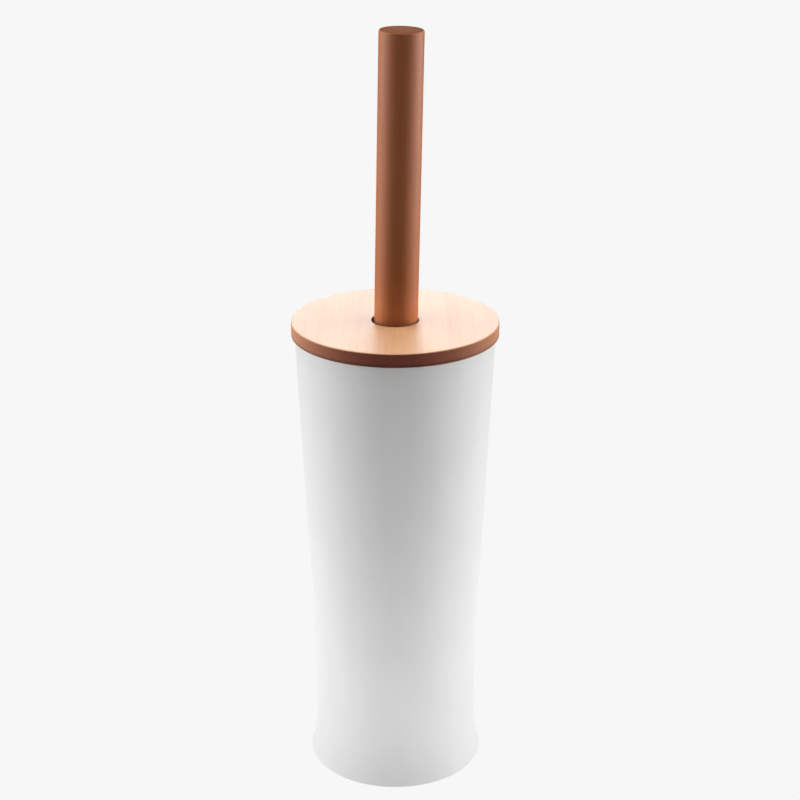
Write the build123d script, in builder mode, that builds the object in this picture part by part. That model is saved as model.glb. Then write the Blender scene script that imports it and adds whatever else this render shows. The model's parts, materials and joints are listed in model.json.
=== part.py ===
# Toilet brush holder: a tapered plastic canister with a flared foot, a loose bamboo lid, and a brush
# whose bamboo dowel handle stands out through the hole in the lid.
#
# Frame: millimetres, +Z up, origin at the centre of the foot, on the surface that it stands on.
# The front is -Y. The brush is a loose fit, so it leans a little towards +X, with its bristles against
# one side of the canister. The brush's own pieces are built upright about Z and then leaned.

from build123d import *
from math import cos, radians, sin, tan
import os

os.makedirs("parts", exist_ok=True)

# ---- driving dimensions ----

# canister
RIM_Z = 227.3
RIM_R = 48.4
TAPER_START_Z = 100.0  # straight taper above, a long gentle curve below
WAIST_Z = 20.0
WAIST_R = 40.75
FOOT_R = 44.1
WALL = 2.0
FLOOR_Z = 6.0  # inner face of the floor
FLOOR_T = 2.0
RIM_ROUND = 0.6
FOOT_ROUND = 0.8
FLOOR_ROUND = 3.0

# lid
LID_R = 50.0
LID_T = 6.8
LID_HOLE_R = 11.35
SPIGOT_T = 4.0
SPIGOT_CLEARANCE = 0.6
LID_ROUND = 0.5
SPIGOT_CHAMFER = 0.8

# handle, a dowel that is screwed to the brush head
HANDLE_R = 10.5
HANDLE_TOP_Z = 372.3
HANDLE_ROUND = 1.0
HANDLE_END_CHAMFER = 0.5

# how the loose brush stands
LEAN = 1.1  # degrees, towards +X
AXIS_X_AT_LID = 0.4  # where the brush's axis crosses the lid's top face

# brush head: domed core, neck, and a socket for the handle's end
CORE_R = 14.0
DOME_Z = 36.0  # centre of the domed end
CORE_TOP_Z = 78.0
NECK_R = 8.5
NECK_Z = (86.0, 93.0)
SOCKET_R = 13.5
SOCKET_Z = (99.0, 120.0)
SOCKET_FLOOR_Z = 101.0
SOCKET_CLEARANCE = 0.15
NECK_ROUND = 2.0
LIP_ROUND = 0.8

# M8 stud moulded into the neck, and the insert that it screws into
STUD_R = 4.0
STUD_Z = (80.0, 118.0)
STUD_CHAMFER = 1.0
STUD_GROOVES_Z = (84.0, 89.0, 94.0)  # the neck's plastic grips these
STUD_GROOVE = (0.6, 2.0)  # depth, width
INSERT_R = 6.0
INSERT_LENGTH = 20.0
INSERT_BORE_DEPTH = 22.0
BARB_PITCH = 4.0
BARB_LENGTH = 2.0
BARB_BITE = 0.2  # how far each barb digs into the wood
BARB_ROOT = 0.5  # and how deep it is rooted in the insert
SLIP = 0.02  # radial clearance of a close fit
INSERT_BARBS = int(INSERT_LENGTH / BARB_PITCH)

# bristle tufts
TUFT_HOLE_R = 1.55
TUFT_HOLE_DEPTH = 6.5
TUFT_ROOT_R = 1.45
TUFT_TIP_R = 4.6
TUFT_TIP_DOME = 1.2
FLARE_AFTER = 1.0  # the tuft stays round and narrow this far out of its hole
ROW_PITCH = 6.5
# around the dome: degrees below the horizontal, number of tufts, reach from the dome's centre
DOME_ROWS = ((90, 1, 29.0), (62, 6, 29.5), (34, 10, 32.0), (6, 12, 34.3))
# up the core's side: degrees above the horizontal, reach of the tips from the axis
SIDE_ROWS = ((0, 34.5), (0, 34.5), (0, 34.5), (4, 34.3), (10, 33.5), (18, 31.5))
SIDE_ROW_TUFTS = 12

# flat wire anchor that holds each folded tuft in its hole
ANCHOR_WIDTH = 3.3
ANCHOR_T = 0.3
ANCHOR_HEIGHT = 1.8
ANCHOR_Z = 0.8  # above the hole's bottom
ANCHOR_ROOM = 0.03

HEIGHT_SLACK = 0.01  # for choosing edges by their height

lid_top_z = RIM_Z + LID_T
lean = radians(LEAN)
brush_stands = Plane(
    origin=(AXIS_X_AT_LID - lid_top_z * tan(lean), 0, 0),
    x_dir=(cos(lean), 0, -sin(lean)),
    z_dir=(sin(lean), 0, cos(lean)),
)


def write(part, name):
    """Labels a finished piece and writes it as the node of that name."""
    part.label = name
    export_step(part, f"parts/{name}.step")


def write_on_brush(part, name):
    """Leans a piece of the brush, built upright, as the brush stands, and writes it."""
    write(brush_stands.location * part, name)


def circles_at(builder, low_z, high_z):
    """The round edges of the part so far that lie level, at or between two heights."""
    circles = builder.edges().filter_by(GeomType.CIRCLE).filter_by(Plane.XY)
    return circles.filter_by_position(Axis.Z, low_z - HEIGHT_SLACK, high_z + HEIGHT_SLACK)


# ---- canister ----


def taper_radius(z):
    """The canister's outer radius on its straight taper, whose line meets the waist's radius half-way
    along the curve below it."""
    slope = (RIM_R - WAIST_R) / (RIM_Z - (TAPER_START_Z + WAIST_Z) / 2)
    return RIM_R - (RIM_Z - z) * slope


belly_r = taper_radius(TAPER_START_Z)

with BuildPart() as canister:
    with BuildSketch(Plane.XZ):
        with BuildLine():
            TangentArc((WAIST_R, WAIST_Z), (FOOT_R, 0), tangent=(0, -1))
            Line((FOOT_R, 0), (FOOT_R - WALL, 0))
            Line((FOOT_R - WALL, 0), (WAIST_R - WALL, FLOOR_Z - FLOOR_T))
            Line((WAIST_R - WALL, FLOOR_Z - FLOOR_T), (0, FLOOR_Z - FLOOR_T))
            Line((0, FLOOR_Z - FLOOR_T), (0, FLOOR_Z))
            Line((0, FLOOR_Z), (WAIST_R - WALL, FLOOR_Z))
            Line((WAIST_R - WALL, FLOOR_Z), (WAIST_R - WALL, WAIST_Z))
            TangentArc((WAIST_R - WALL, WAIST_Z), (belly_r - WALL, TAPER_START_Z), tangent=(0, 1))
            Line((belly_r - WALL, TAPER_START_Z), (RIM_R - WALL, RIM_Z))
            Line((RIM_R - WALL, RIM_Z), (RIM_R, RIM_Z))
            Line((RIM_R, RIM_Z), (belly_r, TAPER_START_Z))
            TangentArc((WAIST_R, WAIST_Z), (belly_r, TAPER_START_Z), tangent=(0, 1))
        make_face()
    revolve(axis=Axis.Z)
    fillet(circles_at(canister, RIM_Z, RIM_Z), RIM_ROUND)
    fillet(circles_at(canister, 0, 0).sort_by(SortBy.RADIUS)[-1], FOOT_ROUND)
    fillet(circles_at(canister, FLOOR_Z, FLOOR_Z), FLOOR_ROUND)
write(canister.part, "canister")

# ---- lid ----

spigot_r = taper_radius(RIM_Z - SPIGOT_T) - WALL - SPIGOT_CLEARANCE

with BuildPart() as lid:
    with BuildSketch(Plane.XY.offset(RIM_Z)):
        Circle(LID_R)
    extrude(amount=LID_T)
    fillet(circles_at(lid, RIM_Z, lid_top_z), LID_ROUND)
    with BuildSketch(Plane.XY.offset(RIM_Z - SPIGOT_T)):
        Circle(spigot_r)
    extrude(amount=SPIGOT_T)
    chamfer(lid.edges().group_by(Axis.Z)[0], SPIGOT_CHAMFER)
    with Locations((0, 0, lid_top_z)):
        Hole(LID_HOLE_R)
    fillet(circles_at(lid, RIM_Z - SPIGOT_T, lid_top_z).group_by(SortBy.RADIUS)[0], LID_ROUND)
write(lid.part, "lid")

# ---- handle ----

with BuildPart() as handle:
    with BuildSketch(Plane.XY.offset(SOCKET_FLOOR_Z)):
        Circle(HANDLE_R)
    extrude(amount=HANDLE_TOP_Z - SOCKET_FLOOR_Z)
    fillet(handle.edges().group_by(Axis.Z)[-1], HANDLE_ROUND)
    chamfer(handle.edges().group_by(Axis.Z)[0], HANDLE_END_CHAMFER)
    with BuildSketch(Plane.XY.offset(SOCKET_FLOOR_Z)):
        Circle(INSERT_R)
    extrude(amount=INSERT_BORE_DEPTH, mode=Mode.SUBTRACT)
write_on_brush(handle.part, "handle")

# ---- threaded insert in the handle's end, with barbs that bite into the wood ----

with BuildPart() as threaded_insert:
    with BuildSketch(Plane.XY.offset(SOCKET_FLOOR_Z)):
        Circle(INSERT_R - SLIP)
        Circle(STUD_R + SLIP, mode=Mode.SUBTRACT)
    extrude(amount=INSERT_LENGTH)
    for barb in range(INSERT_BARBS):
        barb_z = SOCKET_FLOOR_Z + (barb + 0.5) * BARB_PITCH
        with BuildSketch(Plane.XZ):
            with BuildLine():
                Polyline(
                    (INSERT_R - BARB_ROOT, barb_z + BARB_LENGTH / 2),
                    (INSERT_R - BARB_ROOT, barb_z - BARB_LENGTH / 2),
                    (INSERT_R + BARB_BITE, barb_z - BARB_LENGTH / 2),
                    close=True,
                )
            make_face()
        revolve(axis=Axis.Z)
write_on_brush(threaded_insert.part, "threaded_insert")

# ---- stud ----

groove_depth, groove_width = STUD_GROOVE

with BuildPart() as threaded_stud:
    with BuildSketch(Plane.XY.offset(STUD_Z[0])):
        Circle(STUD_R)
    extrude(amount=STUD_Z[1] - STUD_Z[0])
    chamfer(threaded_stud.edges(), STUD_CHAMFER)
    for groove_z in STUD_GROOVES_Z:
        with BuildSketch(Plane.XY.offset(groove_z)):
            Circle(STUD_R + groove_width)
            Circle(STUD_R - groove_depth, mode=Mode.SUBTRACT)
        extrude(amount=groove_width, mode=Mode.SUBTRACT)
write_on_brush(threaded_stud.part, "threaded_stud")


# ---- where the tufts go ----


def tuft_rows():
    """For each row: the planes at its hole mouths, with Z pointing out of the core, and the tufts' reach
    beyond them. Neighbouring rows are staggered by half a pitch."""
    rows = []
    for below, count, reach in DOME_ROWS:
        rows.append((DOME_Z, -below, count, CORE_R, reach - CORE_R))
    for number, (above, tip_r) in enumerate(SIDE_ROWS):
        slant = cos(radians(above))
        pivot_z = DOME_Z + ROW_PITCH * (number + 1)
        rows.append((pivot_z, above, SIDE_ROW_TUFTS, CORE_R / slant, (tip_r - CORE_R) / slant))
    placed = []
    for number, (pivot_z, elevation, count, mouth, reach) in enumerate(rows):
        planes = []
        for k in range(count):
            around = radians(360 * (k + number % 2 / 2) / count)
            flat = cos(radians(elevation))
            out = Vector(flat * cos(around), flat * sin(around), sin(radians(elevation)))
            side = Vector(-sin(around), cos(around), 0)
            planes.append(Plane(origin=Vector(0, 0, pivot_z) + out * mouth, x_dir=side, z_dir=out))
        placed.append((planes, reach))
    return placed


rows = tuft_rows()
all_mouths = [plane for planes, reach in rows for plane in planes]

# ---- brush core: one moulding, from the domed end up to the handle's socket ----

with BuildPart() as brush_core:
    with BuildSketch(Plane.XZ):
        with BuildLine():
            TangentArc((0, DOME_Z - CORE_R), (CORE_R, DOME_Z), tangent=(1, 0))
            Polyline(
                (CORE_R, DOME_Z),
                (CORE_R, CORE_TOP_Z),
                (NECK_R, NECK_Z[0]),
                (NECK_R, NECK_Z[1]),
                (SOCKET_R, SOCKET_Z[0]),
                (SOCKET_R, SOCKET_Z[1]),
                (HANDLE_R + SOCKET_CLEARANCE, SOCKET_Z[1]),
                (HANDLE_R + SOCKET_CLEARANCE, SOCKET_FLOOR_Z),
                (STUD_R + SLIP, SOCKET_FLOOR_Z),
                (STUD_R + SLIP, STUD_Z[0]),
                (0, STUD_Z[0]),
                (0, DOME_Z - CORE_R),
            )
        make_face()
    revolve(axis=Axis.Z)
    fillet(circles_at(brush_core, SOCKET_Z[1], SOCKET_Z[1]), LIP_ROUND)
    neck_corners = [
        corner
        for corner in circles_at(brush_core, CORE_TOP_Z, SOCKET_Z[0])
        if corner.radius >= NECK_R
    ]
    fillet(neck_corners, NECK_ROUND)
    with Locations(*[mouth.location for mouth in all_mouths]):
        Hole(TUFT_HOLE_R, depth=TUFT_HOLE_DEPTH)
write_on_brush(brush_core.part, "brush_core")


# ---- bristle tufts ----


def make_tuft(reach):
    """One tuft, standing on Z=0 at its hole's mouth: a round root, then a flare to a domed tip. A slot
    through the root takes the wire anchor that it is folded over."""
    root_z = -TUFT_HOLE_DEPTH
    with BuildPart() as tuft:
        with BuildSketch(Plane.XZ):
            with BuildLine():
                Polyline(
                    (0, root_z),
                    (TUFT_ROOT_R, root_z),
                    (TUFT_ROOT_R, FLARE_AFTER),
                    (TUFT_TIP_R, reach - TUFT_TIP_DOME),
                )
                TangentArc((0, reach), (TUFT_TIP_R, reach - TUFT_TIP_DOME), tangent=(1, 0))
                Line((0, reach), (0, root_z))
            make_face()
        revolve(axis=Axis.Z)
        with BuildSketch(Plane.XY.offset(root_z + ANCHOR_Z - ANCHOR_ROOM)):
            Rectangle(ANCHOR_WIDTH, ANCHOR_T + 2 * ANCHOR_ROOM)
        extrude(amount=ANCHOR_HEIGHT + 2 * ANCHOR_ROOM, mode=Mode.SUBTRACT)
    return tuft.part


for number, (planes, reach) in enumerate(rows):
    one_tuft = make_tuft(reach)
    with BuildPart() as tuft_row:
        with Locations(*[plane.location for plane in planes]):
            add(one_tuft)
    write_on_brush(tuft_row.part, f"tuft_row_{number + 1:02d}")

# ---- tuft anchors ----

with BuildPart() as tuft_anchors:
    with Locations(*[plane.offset(ANCHOR_Z - TUFT_HOLE_DEPTH).location for plane in all_mouths]):
        Box(ANCHOR_WIDTH, ANCHOR_T, ANCHOR_HEIGHT, align=(Align.CENTER, Align.CENTER, Align.MIN))
write_on_brush(tuft_anchors.part, "tuft_anchors")
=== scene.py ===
import json
import math
import random

import bpy
from mathutils import Matrix, Vector


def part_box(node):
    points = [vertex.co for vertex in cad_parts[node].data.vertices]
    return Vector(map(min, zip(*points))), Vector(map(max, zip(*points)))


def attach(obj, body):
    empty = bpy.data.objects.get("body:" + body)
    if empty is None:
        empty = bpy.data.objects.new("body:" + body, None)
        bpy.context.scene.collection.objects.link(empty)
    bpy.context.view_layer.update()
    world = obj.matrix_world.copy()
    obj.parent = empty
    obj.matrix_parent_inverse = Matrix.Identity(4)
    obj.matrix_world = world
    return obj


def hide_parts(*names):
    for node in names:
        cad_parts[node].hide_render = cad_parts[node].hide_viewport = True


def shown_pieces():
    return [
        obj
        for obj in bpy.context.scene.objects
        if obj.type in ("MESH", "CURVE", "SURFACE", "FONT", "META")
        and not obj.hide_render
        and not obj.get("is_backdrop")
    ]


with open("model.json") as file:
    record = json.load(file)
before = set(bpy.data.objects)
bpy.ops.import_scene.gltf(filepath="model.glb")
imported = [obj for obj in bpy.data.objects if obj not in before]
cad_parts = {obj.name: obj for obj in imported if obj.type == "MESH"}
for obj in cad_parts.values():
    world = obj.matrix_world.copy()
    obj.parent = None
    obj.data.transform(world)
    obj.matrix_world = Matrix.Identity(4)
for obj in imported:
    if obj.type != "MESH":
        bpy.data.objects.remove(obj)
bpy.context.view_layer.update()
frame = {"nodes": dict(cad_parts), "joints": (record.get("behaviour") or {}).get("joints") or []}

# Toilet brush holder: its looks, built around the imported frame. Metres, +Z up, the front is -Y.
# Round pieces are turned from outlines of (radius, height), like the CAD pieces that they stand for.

MM = 0.001
scene = bpy.context.scene

# ---- dimensions shared with the CAD ----

# canister
TAPER_START_Z = 100 * MM
WAIST_Z = 20 * MM
WAIST_R = 40.75 * MM
FOOT_R = 44.1 * MM
WALL = 2 * MM
FLOOR_Z = 6 * MM
FLOOR_T = 2 * MM
RIM_ROUND = 0.6 * MM
FOOT_ROUND = 0.8 * MM
FLOOR_ROUND = 3 * MM

# lid
LID_HOLE_R = 11.35 * MM
LID_ROUND = 0.5 * MM
SPIGOT_R = 45.62 * MM
SPIGOT_CHAMFER = 0.8 * MM

# handle
HANDLE_R = 10.5 * MM
HANDLE_Z = (101 * MM, 372.3 * MM)
HANDLE_ROUND = 1 * MM
HANDLE_END_CHAMFER = 0.5 * MM
AXIS_X_AT_LID = 0.4 * MM  # where the brush's axis crosses the lid's top face

# stud and insert
STUD_R = 4 * MM
STUD_Z = (80 * MM, 118 * MM)
INSERT_R = 6 * MM
INSERT_BORE_DEPTH = 22 * MM

# brush head and its tufts
CORE_R = 14 * MM
DOME_Z = 36 * MM
ROW_PITCH = 6.5 * MM
TUFT_TIP_R = 4.6 * MM
# around the dome: degrees below the horizontal, number of tufts, reach from the dome's centre in mm
DOME_ROWS = ((90, 1, 29.0), (62, 6, 29.5), (34, 10, 32.0), (6, 12, 34.3))
# up the core's side: degrees above the horizontal, reach of the tips from the axis in mm
SIDE_ROWS = ((0, 34.5), (0, 34.5), (0, 34.5), (4, 34.3), (10, 33.5), (18, 31.5))
SIDE_ROW_TUFTS = 12

rim_r, rim_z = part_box("canister")[1].x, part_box("canister")[1].z
lid_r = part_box("lid")[1].x
lid_bottom_z, lid_top_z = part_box("lid")[0].z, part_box("lid")[1].z
taper = (rim_r - WAIST_R) / (rim_z - (TAPER_START_Z + WAIST_Z) / 2)
belly_r = rim_r - (rim_z - TAPER_START_Z) * taper

# the brush's own upright frame, as it leans in the canister
brush_lift = next(joint for joint in frame["joints"] if joint["name"] == "brush_lift")
brush_up = Vector(brush_lift["axis"])
brush_foot = Vector((AXIS_X_AT_LID, 0, lid_top_z)) - brush_up * (lid_top_z / brush_up.z)
brush_lean = Vector((0, 0, 1)).rotation_difference(brush_up)
brush_space = Matrix.Translation(brush_foot) @ brush_lean.to_matrix().to_4x4()


# ---- turned pieces ----

ARC_STEPS = 24
ROUND_STEPS = 10
SMALL_ROUND_STEPS = 5  # for rounds under 1 mm
PAIR_GAP = 0.3  # from each end of a round to its close point on the flat, in radii
ON_AXIS = 0.0001 * MM  # a point nearer to the axis than this lies on it
WIDE_SIDES = 256  # round the canister and the lid
# corners that are sharp or chamfered in the CAD
SOFT_CORNER = 0.2 * MM
FINE_CORNER = 0.15 * MM


def tangent_arc(start, end, heading):
    """Points after start, up to and with end, on the arc that leaves start along the unit heading."""
    start, end, heading = Vector(start), Vector(end), Vector(heading)
    chord = end - start
    side = Vector((-heading.y, heading.x))
    turn = 2 * math.atan2(chord.dot(side), chord.dot(heading))
    spoke = -side * chord.length_squared / (2 * chord.dot(side))
    centre = start - spoke
    angles = [turn * step / ARC_STEPS for step in range(1, ARC_STEPS + 1)]
    return [tuple(centre + Matrix.Rotation(angle, 2) @ spoke) for angle in angles]


def rounded(before, corner, after, radius):
    """Points that round an outline's corner off, with a close pair at each end to keep the flats flat."""
    corner = Vector(corner)
    back = (Vector(before) - corner).normalized()
    on = (Vector(after) - corner).normalized()
    half = back.angle(on) / 2
    reach = radius / math.tan(half)
    start, end = corner + back * reach, corner + on * reach
    centre = corner + (back + on).normalized() * (radius / math.sin(half))
    gap = radius * PAIR_GAP
    steps = SMALL_ROUND_STEPS if radius < MM else ROUND_STEPS
    points = [start + back * gap, start]
    for step in range(1, steps):
        toward = (start - centre).lerp(end - centre, step / steps)
        points.append(centre + toward.normalized() * radius)
    points += [end, end + on * gap]
    return [tuple(point) for point in points]


def outline(*corners):
    """An outline from (radius, height, rounding) corners and plain (radius, height) points."""
    points = []
    for place, corner in enumerate(corners):
        if len(corner) == 2:
            points.append(corner)
            continue
        before, after = corners[place - 1], corners[(place + 1) % len(corners)]
        points += rounded(before[:2], corner[:2], after[:2], corner[2])
    return points


def turned(name, points, sides, space=Matrix.Identity(4), closed=False):
    """A piece turned from an outline, which starts and ends on the axis, or is closed round a hole."""
    verts, rings, faces = [], [], []
    for radius, height in points:
        if radius < ON_AXIS:
            rings.append([len(verts)])
            verts.append(space @ Vector((0, 0, height)))
            continue
        rings.append(range(len(verts), len(verts) + sides))
        for k in range(sides):
            angle = 2 * math.pi * k / sides
            verts.append(space @ Vector((radius * math.cos(angle), radius * math.sin(angle), height)))
    pairs = list(zip(rings, rings[1:]))
    if closed:
        pairs.append((rings[-1], rings[0]))
    for low, high in pairs:
        for k in range(sides):
            k2 = (k + 1) % sides
            if len(low) == 1:
                faces.append((low[0], high[k2], high[k]))
            elif len(high) == 1:
                faces.append((low[k], low[k2], high[0]))
            else:
                faces.append((low[k], low[k2], high[k2], high[k]))
    return mesh_piece(name, verts, faces)


def tube_faces(first, last, sides):
    """The faces between rings of vertices, from the ring that starts at first to the one at last."""
    faces = []
    for start in range(first, last, sides):
        for k in range(sides):
            k2 = (k + 1) % sides
            faces.append((start + k, start + k2, start + sides + k2, start + sides + k))
    return faces


def mesh_piece(name, verts, faces):
    """A smooth-shaded object from vertices in the shared frame."""
    mesh = bpy.data.meshes.new(name)
    mesh.from_pydata(verts, [], faces)
    mesh.shade_smooth()
    mesh.update()
    piece = bpy.data.objects.new(name, mesh)
    scene.collection.objects.link(piece)
    return piece


def set_material(piece, material):
    """Gives a piece its only material."""
    piece.data.materials.clear()
    piece.data.materials.append(material)


def finish_piece(piece, body, material, node):
    """Rides a new piece on its body, gives it its material, and hides the CAD node that it stands for."""
    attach(piece, body)
    set_material(piece, material)
    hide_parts(node)


# ---- materials ----

AXES = "XYZ"
# a Mix node's sockets when it mixes colours
MIX_FACTOR, MIX_FIRST, MIX_SECOND, MIX_RESULT = 0, 6, 7, 2


def rgba(colour, factor=1.0):
    """A colour for a socket, dimmed by a factor."""
    return (*(channel * factor for channel in colour), 1.0)


def grey(value):
    return rgba((value, value, value))


class Shader:
    """A material's Principled shader and the nodes that feed it. Textures use the shared frame, in mm."""

    def __init__(self, name, **values):
        self.material = bpy.data.materials.new(name)
        self.material.use_nodes = True
        self.nodes = self.material.node_tree.nodes
        self.links = self.material.node_tree.links
        self.bsdf = next(node for node in self.nodes if node.type == "BSDF_PRINCIPLED")
        self.set(**values)

    def set(self, **values):
        """Feeds the Principled shader's sockets, which are named like coat_weight here."""
        for name, value in values.items():
            socket = name.replace("_", " ").title().replace("Ior", "IOR")
            self.feed(self.bsdf.inputs[socket], value)

    def feed(self, socket, value):
        """Gives a socket a value, or another node's output."""
        if isinstance(value, bpy.types.NodeSocket):
            self.links.new(value, socket)
        else:
            socket.default_value = value

    def add(self, kind, inputs=(), **settings):
        """A node. inputs maps its socket names or numbers to what they are fed."""
        node = self.nodes.new(kind)
        for key, value in settings.items():
            setattr(node, key, value)
        for socket, value in dict(inputs).items():
            self.feed(node.inputs[socket], value)
        return node

    def place(self, scale=(1, 1, 1), tilt=0.0):
        """The shared frame in mm, leaned with the brush by tilt, then multiplied by scale."""
        where = self.add("ShaderNodeTexCoord").outputs["Object"]
        upright = self.add("ShaderNodeMapping", {"Vector": where, "Rotation": (0, -tilt, 0)})
        per_metre = tuple(share / MM for share in scale)
        scaled = self.add("ShaderNodeMapping", {"Vector": upright.outputs[0], "Scale": per_metre})
        return scaled.outputs[0]

    def split(self, vector):
        """A vector's X, Y and Z outputs, by name."""
        return self.add("ShaderNodeSeparateXYZ", {"Vector": vector}).outputs

    def noise(self, where, scale, detail=2.0, roughness=0.5):
        inputs = {"Vector": where, "Scale": scale, "Detail": detail, "Roughness": roughness}
        return self.add("ShaderNodeTexNoise", inputs).outputs[0]

    def math(self, operation, *values):
        return self.add("ShaderNodeMath", enumerate(values), operation=operation).outputs[0]

    def mean(self, first, second, share):
        """Their weighted mean, with this share of the first."""
        rest = self.math("MULTIPLY", second, 1 - share)
        return self.math("ADD", self.math("MULTIPLY", first, share), rest)

    def remap(self, value, low, high, to_low=0.0, to_high=1.0):
        """The value's way from low to high, as the way from to_low to to_high, and no further."""
        inputs = enumerate((value, low, high, to_low, to_high))
        return self.add("ShaderNodeMapRange", inputs, clamp=True).outputs[0]

    def blend(self, factor, first, second, blend_type="MIX"):
        inputs = {MIX_FACTOR: factor, MIX_FIRST: first, MIX_SECOND: second}
        node = self.add("ShaderNodeMix", inputs, data_type="RGBA", blend_type=blend_type)
        return node.outputs[MIX_RESULT]

    def bump(self, height, strength, depth):
        """Feeds the shader a bumped surface, depth mm deep."""
        inputs = {"Height": height, "Strength": strength, "Distance": depth * MM}
        self.set(normal=self.add("ShaderNodeBump", inputs).outputs[0])


def matte_plastic(name, colour, grain=3.0):
    """Moulded polypropylene: a fine spark-eroded texture, and slow changes of tone with the flow."""
    shader = Shader(name, specular_ior_level=0.3)
    where = shader.place()
    texture = shader.noise(where, scale=grain, detail=3.0, roughness=0.6)
    clouds = shader.noise(where, scale=0.035)
    flow = shader.noise(shader.place((1, 1, 0.12)), scale=0.12)
    tone = shader.remap(shader.math("ADD", clouds, flow), 0.7, 1.3)
    shader.set(
        base_color=shader.blend(tone, rgba(colour, 0.965), rgba(colour)),
        roughness=shader.remap(texture, 0.3, 0.7, 0.66, 0.8),
    )
    shader.bump(texture, strength=0.35, depth=0.02)
    return shader.material


FIBRE_SQUEEZE = 0.018  # the fibre pattern's coordinate along the strips is multiplied by this
FINE_SHARE = 0.55  # of the fine fibres in the tone of a strip's fibres, and the rest are broad
FIBRE_SHARE = 0.6  # of the fibres in the tone, and the rest is each strip's own
SIDE_GRAIN = 0.62  # how far a disc's edge counts as cut where the cut runs along the fibres
SEAM = (0.05, 0.012)  # how far from the glue line, in mm, a seam begins to show and is full
STRIP_SHIFT = 91.0  # mm between the places that strips may take their fibres from
RING_PITCH = 260.0  # mm between a strip's growth rings
RING_SHIFT = 7.3  # in pitches, how far apart the strips' growth rings may be
RING_WOBBLE = 0.01  # in pitches
RING_HALF = (0.001, 0.006)  # in pitches, how far a growth ring is full and reaches
# a painted shadow along the lid's lower arris: how far up it reaches, and the colour that darkens it
EDGE_SHADE_HEIGHT = (1.2, 1.8)  # mm above the arris where the painted shade begins to fade and ends
EDGE_SHADE_COLOUR = (0.6, 0.66, 0.7)


def strips(shader, cross, width):
    """For strips of a width that are stacked across: each one's random number, and the glued seams."""
    place = shader.math("DIVIDE", cross, width)
    number = shader.math("FLOOR", place)
    luck = shader.add("ShaderNodeTexWhiteNoise", {"W": number}, noise_dimensions="1D").outputs[0]
    off_middle = shader.math("ABSOLUTE", shader.math("SUBTRACT", shader.math("FRACT", place), 0.5))
    return luck, shader.remap(off_middle, *(0.5 - reach / width for reach in SEAM))


def fibres(shader, where, luck):
    """Fibres from each strip's own place in the pattern: their fine and broad tone, and dark bundles."""
    shift = shader.math("MULTIPLY", luck, STRIP_SHIFT)
    shifts = shader.add("ShaderNodeCombineXYZ", {axis: shift for axis in AXES}).outputs[0]
    own = shader.add("ShaderNodeVectorMath", {0: where, 1: shifts}, operation="ADD").outputs[0]
    fine = shader.noise(own, scale=2.1, detail=3.0, roughness=0.65)
    broad = shader.noise(own, scale=0.45)
    bundles = shader.add("ShaderNodeTexVoronoi", {"Vector": own, "Scale": 1.15}).outputs["Distance"]
    return fine, broad, shader.remap(bundles, 0.12, 0.34, 1.0, 0.0)


def growth_rings(shader, run, luck, broad):
    """A narrow, slightly wavy band across each strip at every ring pitch, at the strip's own height."""
    height = shader.math("DIVIDE", run, RING_PITCH)
    height = shader.math("ADD", height, shader.math("MULTIPLY", luck, RING_SHIFT))
    wobble = shader.math("MULTIPLY", shader.math("SUBTRACT", broad, 0.5), RING_WOBBLE)
    way = shader.math("FRACT", shader.math("ADD", height, wobble))
    return shader.remap(shader.math("ABSOLUTE", shader.math("SUBTRACT", way, 0.5)), *RING_HALF, 1.0, 0.0)


def cut_faces(shader, along):
    """How far a face counts as cut: a standing dowel's ends, or a lying disc's turned edge."""
    facing = shader.split(shader.add("ShaderNodeTexCoord").outputs["Normal"])
    end_grain = shader.math("ABSOLUTE", facing[along])
    if along == "Z":
        return shader.remap(end_grain, 0.6, 0.95)
    turned_edge = shader.remap(shader.math("ABSOLUTE", facing["Z"]), 0.9, 0.3)
    return shader.math("MULTIPLY", turned_edge, shader.remap(end_grain, 0.3, 1.0, SIDE_GRAIN, 1.0))


def painted_edge_shade(shader, height, arris):
    """Painted shade: a narrow darker band up from a disc's lower arris, at the height arris, for the shadow
    where the disc meets what it sits on. It fades upwards.
    """
    above = shader.remap(height, arris - 0.2, arris - 0.05)
    fading = shader.remap(height, *(arris + reach for reach in EDGE_SHADE_HEIGHT), 1.0, 0.0)
    return shader.math("MULTIPLY", above, fading)


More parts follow.
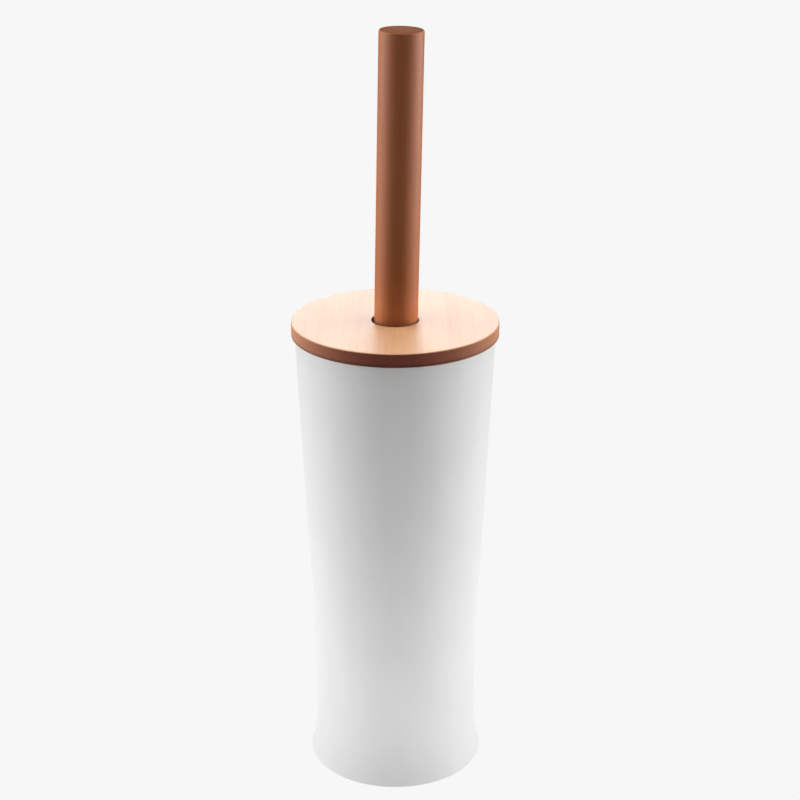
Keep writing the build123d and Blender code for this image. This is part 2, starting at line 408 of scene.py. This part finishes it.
def bamboo(name, dark, light, cut, along, across, strip, tilt=0.0, shine=0.4, coat=0.25, arris=None):
    """Carbonised bamboo, laminated from strips that run along one axis and are stacked across another.
    Fibre bundles show as fine dark streaks, and as dots where the strips are cut across. Cut faces
    take up more oil: cut is how much darker they are, for each colour channel. A disc's lower arris,
    at the height arris in mm, gets a narrow band of painted shade, as of a contact shadow."""
    shader = Shader(name, coat_roughness=0.42, specular_ior_level=shine)
    place = shader.split(shader.place(tilt=tilt))
    stretch = tuple(FIBRE_SQUEEZE if axis == along else 1.0 for axis in AXES)
    luck, seam = strips(shader, place[across], strip)
    fine, broad, bundle = fibres(shader, shader.place(stretch, tilt), luck)
    ring = growth_rings(shader, place[along], luck, broad)
    cut_share = cut_faces(shader, along)

    tone = shader.remap(shader.mean(fine, broad, FINE_SHARE), 0.3, 0.7)
    colour = shader.blend(shader.mean(tone, luck, FIBRE_SHARE), rgba(dark), rgba(light))
    colour = shader.blend(cut_share, colour, rgba(cut), blend_type="MULTIPLY")
    # painted shade: a darker band up from the lower arris, standing in for the contact shadow on the lid's
    # edge
    if arris:
        edge_shade = painted_edge_shade(shader, place["Z"], arris)
        colour = shader.blend(edge_shade, colour, rgba(EDGE_SHADE_COLOUR), blend_type="MULTIPLY")
    for mark, strength in ((bundle, 0.25), (ring, 0.1), (seam, 0.3)):
        colour = shader.blend(shader.math("MULTIPLY", mark, strength), colour, rgba(dark, 0.62))

    sanded = shader.remap(fine, 0.25, 0.75, 0.42, 0.56)
    shader.set(
        base_color=colour,
        roughness=shader.remap(cut_share, 0.0, 1.0, sanded, 1.0),
        coat_weight=shader.remap(cut_share, 0.0, 1.0, coat, 0.0),
    )
    height = shader.math("SUBTRACT", fine, shader.math("MULTIPLY", bundle, 0.5))
    height = shader.math("SUBTRACT", height, shader.math("MULTIPLY", seam, 0.8))
    shader.bump(height, strength=0.25, depth=0.03)
    return shader.material


LINES_ALONG = (1, 1, 0.05)
LINES_AROUND = (0.05, 0.05, 1)


def metal(name, colour, roughness, lines):
    """Drawn or turned metal, with fine lines along or around it and a little dulling."""
    shader = Shader(name, metallic=1.0)
    scratches = shader.noise(shader.place(lines), scale=9.0)
    bright = shader.remap(shader.noise(shader.place(), scale=0.6, detail=3.0), 0.35, 0.7)
    shader.set(
        base_color=shader.blend(bright, rgba(colour, 0.8), rgba(colour)),
        roughness=shader.remap(scratches, 0.3, 0.7, roughness * 0.75, roughness * 1.3),
    )
    shader.bump(scratches, strength=0.2, depth=0.01)
    return shader.material


def filament_plastic(name, colour):
    """Drawn polypropylene filament, a little clear, with changes of tone and gloss."""
    shader = Shader(name, specular_ior_level=0.5, subsurface_weight=0.15, subsurface_scale=0.4 * MM)
    where = shader.place()
    tone = shader.remap(shader.noise(where, scale=0.9), 0.3, 0.7)
    gloss = shader.noise(where, scale=8.0, detail=1.0)
    shader.set(
        base_color=shader.blend(tone, rgba(colour, 0.86), rgba(colour)),
        roughness=shader.remap(gloss, 0.3, 0.7, 0.32, 0.46),
    )
    return shader.material


WHITE_PLASTIC = matte_plastic("canister_plastic", (0.84, 0.84, 0.845))
CORE_PLASTIC = matte_plastic("core_plastic", (0.8, 0.8, 0.79), grain=4.0)
LID_BAMBOO = bamboo(
    "lid_bamboo",
    dark=(0.52, 0.268, 0.13),
    light=(0.625, 0.35, 0.18),
    cut=(0.325, 0.15, 0.175),
    along="Y",
    across="X",
    strip=6.2,
    # the lid's lower arris, up from which a band of painted shade darkens its edge
    arris=rim_z / MM,
)
HANDLE_BAMBOO = bamboo(
    "handle_bamboo",
    dark=(0.27, 0.084, 0.03),
    light=(0.36, 0.129, 0.055),
    cut=(0.57, 0.54, 0.49),
    along="Z",
    across="Y",
    strip=7.0,
    tilt=math.atan2(brush_up.x, brush_up.z),
    shine=0.2,
    coat=0.04,
)
BRISTLE = filament_plastic("bristle", (0.86, 0.86, 0.85))
STEEL = metal("stud_steel", (0.62, 0.62, 0.63), 0.3, LINES_AROUND)
WIRE = metal("anchor_wire", (0.6, 0.6, 0.61), 0.35, LINES_ALONG)
BRASS = metal("insert_brass", (0.78, 0.6, 0.3), 0.3, LINES_AROUND)


# ---- canister ----

# the moulding's gate mark under the floor: a low round stub with a sunk middle and sloping sides
GATE_R = 2.4 * MM
GATE_HEIGHT = 0.6 * MM
GATE_MIDDLE_R = 1.2 * MM
GATE_MIDDLE_HEIGHT = 0.35 * MM
GATE_SLOPE = 0.2 * MM
GATE_ROUND = 0.1 * MM
HOLLOW_ROUND = 0.5 * MM  # where the floor's underside meets the wall
FOOT_INNER_ROUND = 0.3 * MM
FLARE_END_Z = 1.5 * MM  # clear of the foot's round


def make_canister():
    """The moulded shell: from the gate mark under its floor, round the foot, over the rim and back in."""
    flare = tangent_arc((WAIST_R, WAIST_Z), (FOOT_R, 0), (0, -1))
    belly = tangent_arc((WAIST_R, WAIST_Z), (belly_r, TAPER_START_Z), (0, 1))
    inner_belly = [(radius - WALL, height) for radius, height in belly]
    inner_r = WAIST_R - WALL
    under = FLOOR_Z - FLOOR_T
    points = outline(
        (0, under - GATE_MIDDLE_HEIGHT),
        (GATE_MIDDLE_R, under - GATE_MIDDLE_HEIGHT, GATE_ROUND),
        (GATE_MIDDLE_R + GATE_SLOPE, under - GATE_HEIGHT, GATE_ROUND),
        (GATE_R - GATE_SLOPE, under - GATE_HEIGHT, FINE_CORNER),
        (GATE_R, under, FINE_CORNER),
        (inner_r, under, HOLLOW_ROUND),
        (FOOT_R - WALL, 0, FOOT_INNER_ROUND),
        (FOOT_R, 0, FOOT_ROUND),
        *[point for point in reversed(flare) if point[1] > FLARE_END_Z],
        (WAIST_R, WAIST_Z),
        *belly,
        (rim_r, rim_z, RIM_ROUND),
        (rim_r - WALL, rim_z, RIM_ROUND),
        *reversed(inner_belly),
        (inner_r, WAIST_Z),
        (inner_r, FLOOR_Z, FLOOR_ROUND),
        (0, FLOOR_Z),
    )
    return turned("canister_moulding", points, WIDE_SIDES)


finish_piece(make_canister(), "holder", WHITE_PLASTIC, "canister")

# ---- lid ----

LID_TOP_ROUND = 0.6 * MM
LID_UNDER_ROUND = 0.4 * MM


def make_lid():
    """The board: disc, spigot and hole."""
    points = outline(
        (LID_HOLE_R, lid_bottom_z, LID_UNDER_ROUND),
        (SPIGOT_R - SPIGOT_CHAMFER, lid_bottom_z, SOFT_CORNER),
        (SPIGOT_R, lid_bottom_z + SPIGOT_CHAMFER, SOFT_CORNER),
        (SPIGOT_R, rim_z, SOFT_CORNER),
        (lid_r, rim_z, LID_ROUND),
        (lid_r, lid_top_z, LID_TOP_ROUND),
        (LID_HOLE_R, lid_top_z, LID_ROUND),
    )
    return turned("lid_board", points, WIDE_SIDES, closed=True)


finish_piece(make_lid(), "lid", LID_BAMBOO, "lid")

# ---- handle ----

HANDLE_SIDES = 128


def make_handle():
    """The dowel, with its rounded top and the bore for the insert."""
    low, high = HANDLE_Z
    points = outline(
        (0, low + INSERT_BORE_DEPTH),
        (INSERT_R, low + INSERT_BORE_DEPTH, SOFT_CORNER),
        (INSERT_R, low, SOFT_CORNER),
        (HANDLE_R - HANDLE_END_CHAMFER, low, FINE_CORNER),
        (HANDLE_R, low + HANDLE_END_CHAMFER, FINE_CORNER),
        (HANDLE_R, high, HANDLE_ROUND),
        (0, high),
    )
    return turned("handle_dowel", points, HANDLE_SIDES, brush_space)


finish_piece(make_handle(), "brush", HANDLE_BAMBOO, "handle")

# ---- stud ----

THREAD_PITCH = 1.25 * MM
THREAD_DEPTH = 0.7 * MM
THREAD_SLOPE = 3.2  # how steeply the flanks rise, in depths per pitch
THREAD_PEAK = 1.5  # how high the flanks would meet, in depths: the crest is cut flat at 1
STUD_SIDES = 40
STUD_ROWS_PER_PITCH = 10


def make_stud():
    """The M8 stud, with a real helical thread that runs out at its ends."""
    low, high = STUD_Z
    rows = int((high - low) / THREAD_PITCH * STUD_ROWS_PER_PITCH)
    verts = [brush_space @ Vector((0, 0, low))]
    for row in range(rows + 1):
        height = low + (high - low) * row / rows
        runout = min(1.0, (height - low) / THREAD_PITCH, (high - height) / THREAD_PITCH)
        for k in range(STUD_SIDES):
            off_crest = abs((height / THREAD_PITCH - k / STUD_SIDES) % 1.0 - 0.5)
            crest = min(1.0, max(0.0, THREAD_PEAK - THREAD_SLOPE * off_crest))
            radius = STUD_R - THREAD_DEPTH * (1 - crest * runout)
            angle = 2 * math.pi * k / STUD_SIDES
            verts.append(brush_space @ Vector((radius * math.cos(angle), radius * math.sin(angle), height)))
    top = len(verts)
    verts.append(brush_space @ Vector((0, 0, high)))
    last = top - STUD_SIDES
    faces = tube_faces(1, last, STUD_SIDES)
    for k in range(STUD_SIDES):
        k2 = (k + 1) % STUD_SIDES
        faces.append((0, 1 + k2, 1 + k))
        faces.append((top, last + k, last + k2))
    return mesh_piece("stud_thread", verts, faces)


finish_piece(make_stud(), "brush", STEEL, "threaded_stud")

# ---- bristles ----

FILAMENT_R = 0.19 * MM
FILAMENT_TIP = 0.55  # the tip's radius, as a share of the filament's
FILAMENT_SIDES = 5
FILAMENT_STEPS = 11
FILAMENTS_PER_TUFT = 42
CRIMP_HEIGHT = 0.16 * MM
CRIMP_LENGTH = 6.5 * MM
CRIMP_START = 3 * MM  # over which the waves grow, from the tuft's hole
ROOT_DEPTH = 2.5 * MM  # how deep in the hole a filament starts
MOUTH_R = 1.2 * MM  # the tuft's radius where it leaves the hole
SPREAD_R = TUFT_TIP_R - 0.3 * MM  # the tuft's radius at its tips, before each one's own share
SPREAD_SHARES = (0.9, 1.05)
TRIM = 0.06  # how much shorter a tuft's outermost filaments are
UNEVEN_ENDS = (-0.5 * MM, 0.15 * MM)
TURN_JITTER = 0.25
GOLDEN_ANGLE = math.pi * (3 - math.sqrt(5))  # from each filament to the next, round the tuft


def tuft_rows():
    """For each row, its tufts: mouth, outward direction and reach, in the brush's upright frame."""
    rows = []
    for below, count, reach in DOME_ROWS:
        rows.append((DOME_Z, -below, count, CORE_R, reach * MM - CORE_R))
    for number, (above, tip_r) in enumerate(SIDE_ROWS, start=1):
        slant = math.cos(math.radians(above))
        pivot_z = DOME_Z + ROW_PITCH * number
        rows.append((pivot_z, above, SIDE_ROW_TUFTS, CORE_R / slant, (tip_r * MM - CORE_R) / slant))
    placed = []
    for number, (pivot_z, elevation, count, mouth, reach) in enumerate(rows):
        flat, rise = math.cos(math.radians(elevation)), math.sin(math.radians(elevation))
        tufts = []
        for k in range(count):
            around = 2 * math.pi * (k + number % 2 / 2) / count
            out = Vector((flat * math.cos(around), flat * math.sin(around), rise))
            tufts.append((Vector((0, 0, pivot_z)) + out * mouth, out, reach))
        placed.append(tufts)
    return placed


def filament(dice, tuft, turn, share, verts, faces):
    """Adds one crimped filament. turn is its way round the tuft, and share its way out, up to 1."""
    mouth, out, reach = tuft
    side = out.orthogonal().normalized()
    up = out.cross(side)
    spoke = side * math.cos(turn) + up * math.sin(turn)
    length = reach * (1 - TRIM * share * share) + dice.uniform(*UNEVEN_ENDS)
    spread = SPREAD_R * share * dice.uniform(*SPREAD_SHARES)
    wave_way = (side * dice.uniform(-1, 1) + up * dice.uniform(-1, 1)).normalized()
    phase = dice.uniform(0, 2 * math.pi)
    first = len(verts)
    for step in range(FILAMENT_STEPS + 1):
        far = -ROOT_DEPTH + (length + ROOT_DEPTH) * step / FILAMENT_STEPS
        part = max(0.0, far) / length
        away = MOUTH_R * share * (1 - part) + spread * part
        wave = CRIMP_HEIGHT * min(1.0, max(0.0, far) / CRIMP_START)
        bend = wave * math.sin(phase + 2 * math.pi * far / CRIMP_LENGTH)
        centre = mouth + out * far + spoke * away + wave_way * bend
        radius = FILAMENT_R * (FILAMENT_TIP if step == FILAMENT_STEPS else 1.0)
        for k in range(FILAMENT_SIDES):
            angle = 2 * math.pi * k / FILAMENT_SIDES
            verts.append(brush_space @ (centre + (side * math.cos(angle) + up * math.sin(angle)) * radius))
    last = len(verts) - FILAMENT_SIDES
    faces += tube_faces(first, last, FILAMENT_SIDES)
    faces.append(tuple(reversed(range(first, first + FILAMENT_SIDES))))
    faces.append(tuple(range(last, last + FILAMENT_SIDES)))


def make_bristles():
    """Each row of tufts, filament by filament."""
    for number, tufts in enumerate(tuft_rows(), start=1):
        dice = random.Random(number)
        verts, faces = [], []
        for tuft in tufts:
            for n in range(FILAMENTS_PER_TUFT):
                share = math.sqrt((n + 0.5) / FILAMENTS_PER_TUFT)
                turn = n * GOLDEN_ANGLE + dice.uniform(-TURN_JITTER, TURN_JITTER)
                filament(dice, tuft, turn, share, verts, faces)
        piece = mesh_piece(f"bristles_{number:02d}", verts, faces)
        finish_piece(piece, "brush", BRISTLE, f"tuft_row_{number:02d}")


make_bristles()

# ---- CAD pieces that keep their shape ----

for node, material in (("brush_core", CORE_PLASTIC), ("threaded_insert", BRASS), ("tuft_anchors", WIRE)):
    set_material(frame["nodes"][node], material)

# ---- studio ----

PAPER_GLOW = 0.93  # how bright the floor and the backdrop look
WORLD_GREY = 0.57
COOL = (0.86, 0.98, 1.08)  # the tint of the light that shines on the lid's top from behind
AMBER = (1, 0.58, 0.1)  # and of what the lid throws back
CAMERA_PLACE = (2.3 * MM, -0.809, 0.50433)
CAMERA_PITCH = 21.07  # degrees down
CAMERA_LENS = 79.9
CAMERA_SENSOR = 36
CAMERA_NEAREST = 0.01
FLOOR_HALF = 12.0
DOME_R = 11.0
DOME_FOOT_Z = -0.5
DOME_STEPS = 12
DOME_SIDES = 48
# cards that lie on the floor: half the width, height, and the distances where they begin and end
LOW_FLAG = (1.5, 0.002, 0.24, 3.0)
# cards that stand on it: half the width, heights of the lower and the upper edge, distance
HIGH_FLAG = (1.1, 0.002, 1.8, 0.95)


def make_camera():
    camera = bpy.data.objects.new("camera", bpy.data.cameras.new("camera"))
    camera.location = CAMERA_PLACE
    camera.rotation_euler = (math.radians(90 - CAMERA_PITCH), 0, 0)
    camera.data.lens = CAMERA_LENS
    camera.data.sensor_width = CAMERA_SENSOR
    camera.data.clip_start = CAMERA_NEAREST
    scene.collection.objects.link(camera)
    scene.camera = camera


def paper(name):
    """Pale studio paper that only gives its own light, so that it looks even and takes no shadow."""
    shader = Shader(name, base_color=grey(0), roughness=0.9, specular_ior_level=0.0)
    shader.set(emission_color=grey(1), emission_strength=PAPER_GLOW)
    return shader.material


def panel(name, corners, material):
    """A flat piece of the studio."""
    piece = mesh_piece(name, [Vector(corner) for corner in corners], [(0, 1, 2, 3)])
    set_material(piece, material)
    piece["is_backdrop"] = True
    return piece


def make_floor():
    far = FLOOR_HALF
    panel("floor", ((-far, -far, 0), (far, -far, 0), (far, far, 0), (-far, far, 0)), paper("floor_paper"))


def make_backdrop():
    """A pale dome round everything, seen by the camera alone."""
    angles = [math.pi * step / 2 / DOME_STEPS for step in range(DOME_STEPS + 1)]
    points = [(DOME_R * math.cos(angle), DOME_R * math.sin(angle) + DOME_FOOT_Z) for angle in angles]
    dome = turned("backdrop", points, DOME_SIDES)
    set_material(dome, paper("backdrop_paper"))
    dome.visible_diffuse = dome.visible_glossy = dome.visible_transmission = dome.visible_shadow = False
    dome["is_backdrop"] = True


def make_flags():
    """Black cards that keep light off the front and the back, low and high, unseen by the camera."""
    black = Shader("flag_black", base_color=grey(0.01), roughness=0.9).material
    for side, y in (("front", -1), ("back", 1)):
        wide, low, near, far = LOW_FLAG
        lying = ((-wide, y * far, low), (wide, y * far, low), (wide, y * near, low), (-wide, y * near, low))
        panel(f"{side}_flag_low", lying, black).visible_camera = False
        wide, low, top, away = HIGH_FLAG
        away *= y
        standing = ((-wide, away, low), (wide, away, low), (wide, away, top), (-wide, away, top))
        panel(f"{side}_flag_high", standing, black).visible_camera = False


def collect(name, pieces):
    """A collection that lights can be linked to."""
    collection = bpy.data.collections.new(name)
    for piece in pieces:
        collection.objects.link(piece)
    return collection


def soft_light(name, pieces, place, aim, size, power, shines=True, tint=(1, 1, 1)):
    """A soft box that lights a collection of pieces, and not the floor. It may leave no highlights."""
    data = bpy.data.lights.new(name, "AREA")
    data.shape = "RECTANGLE"
    data.size, data.size_y = size
    data.energy = power
    data.color = tint
    light = bpy.data.objects.new(name, data)
    light.location = place
    light.rotation_euler = (Vector(aim) - Vector(place)).to_track_quat("-Z", "Y").to_euler()
    light.visible_camera = False
    light.visible_glossy = shines
    light.light_linking.receiver_collection = pieces
    scene.collection.objects.link(light)


def make_world():
    world = bpy.data.worlds.new("world")
    world.use_nodes = True
    world.node_tree.nodes["Background"].inputs["Color"].default_value = grey(WORLD_GREY)
    scene.world = world


def make_lights():
    """Soft boxes above, behind and at both sides, and light off the floor. The handle and the lid have
    some of their own, which the canister doesn't see."""
    everything = collect("everything_lit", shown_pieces())
    handle = collect("handle_lit", [bpy.data.objects["handle_dowel"]])
    lid = collect("lid_lit", [bpy.data.objects["lid_board"]])
    middle, upper, lid_top = (0, 0, 0.2), (0, 0, 0.31), (0, 0, lid_top_z)  # what the boxes aim at

    soft_light("top_light", everything, (0, 0, 1.5), middle, size=(1.0, 0.6), power=9.8)
    behind, wide = (0, 0.9, 0.54), (0.8, 0.42)
    soft_light("back_handle_light", handle, behind, lid_top, size=wide, power=3.0)
    soft_light("back_lid_light", lid, behind, lid_top, size=wide, power=6.5, tint=COOL)
    for side, y in (("front", -0.22), ("back", 0.22)):
        floor = (0, y, 0.003)
        soft_light(f"{side}_floor_glow", everything, floor, (0, y, 1), size=(0.8, 0.3), power=0.43)

    # The handle's light from each side is in two parts, and only the rim light leaves a highlight. The
    # rim light is a little further out, because two boxes in one place would lose a part of their light.
    power, box, further = 14.6, (0.6, 0.8), 1.03
    for side, x, rim in (("left", -1, 4.5), ("right", 1, 10.5)):
        soft_light(f"{side}_light", everything, (x * 1.2, -0.1, 0.4), middle, size=(1.0, 1.2), power=8.4)
        place = Vector((x * 1.14, 0.37, 0.32))
        soft_light(f"{side}_handle_light", handle, place, upper, box, power - rim, shines=False)
        soft_light(f"{side}_handle_rim_light", handle, place * further, upper, box, rim)
        soft_light(f"{side}_lid_light", lid, place, upper, box, power, shines=False)
        # what the lid's top throws back on the handle's foot
        glow = Vector((x * 28 * MM, 0, lid_top_z + 1 * MM))
        above = glow + Vector((0, 0, 1))
        soft_light(f"{side}_lid_glow", handle, glow, above, (0.04, 0.05), 0.008, shines=False, tint=AMBER)


make_camera()
make_floor()
make_backdrop()
make_flags()
make_world()
make_lights()
scene.view_settings.view_transform = "Standard"
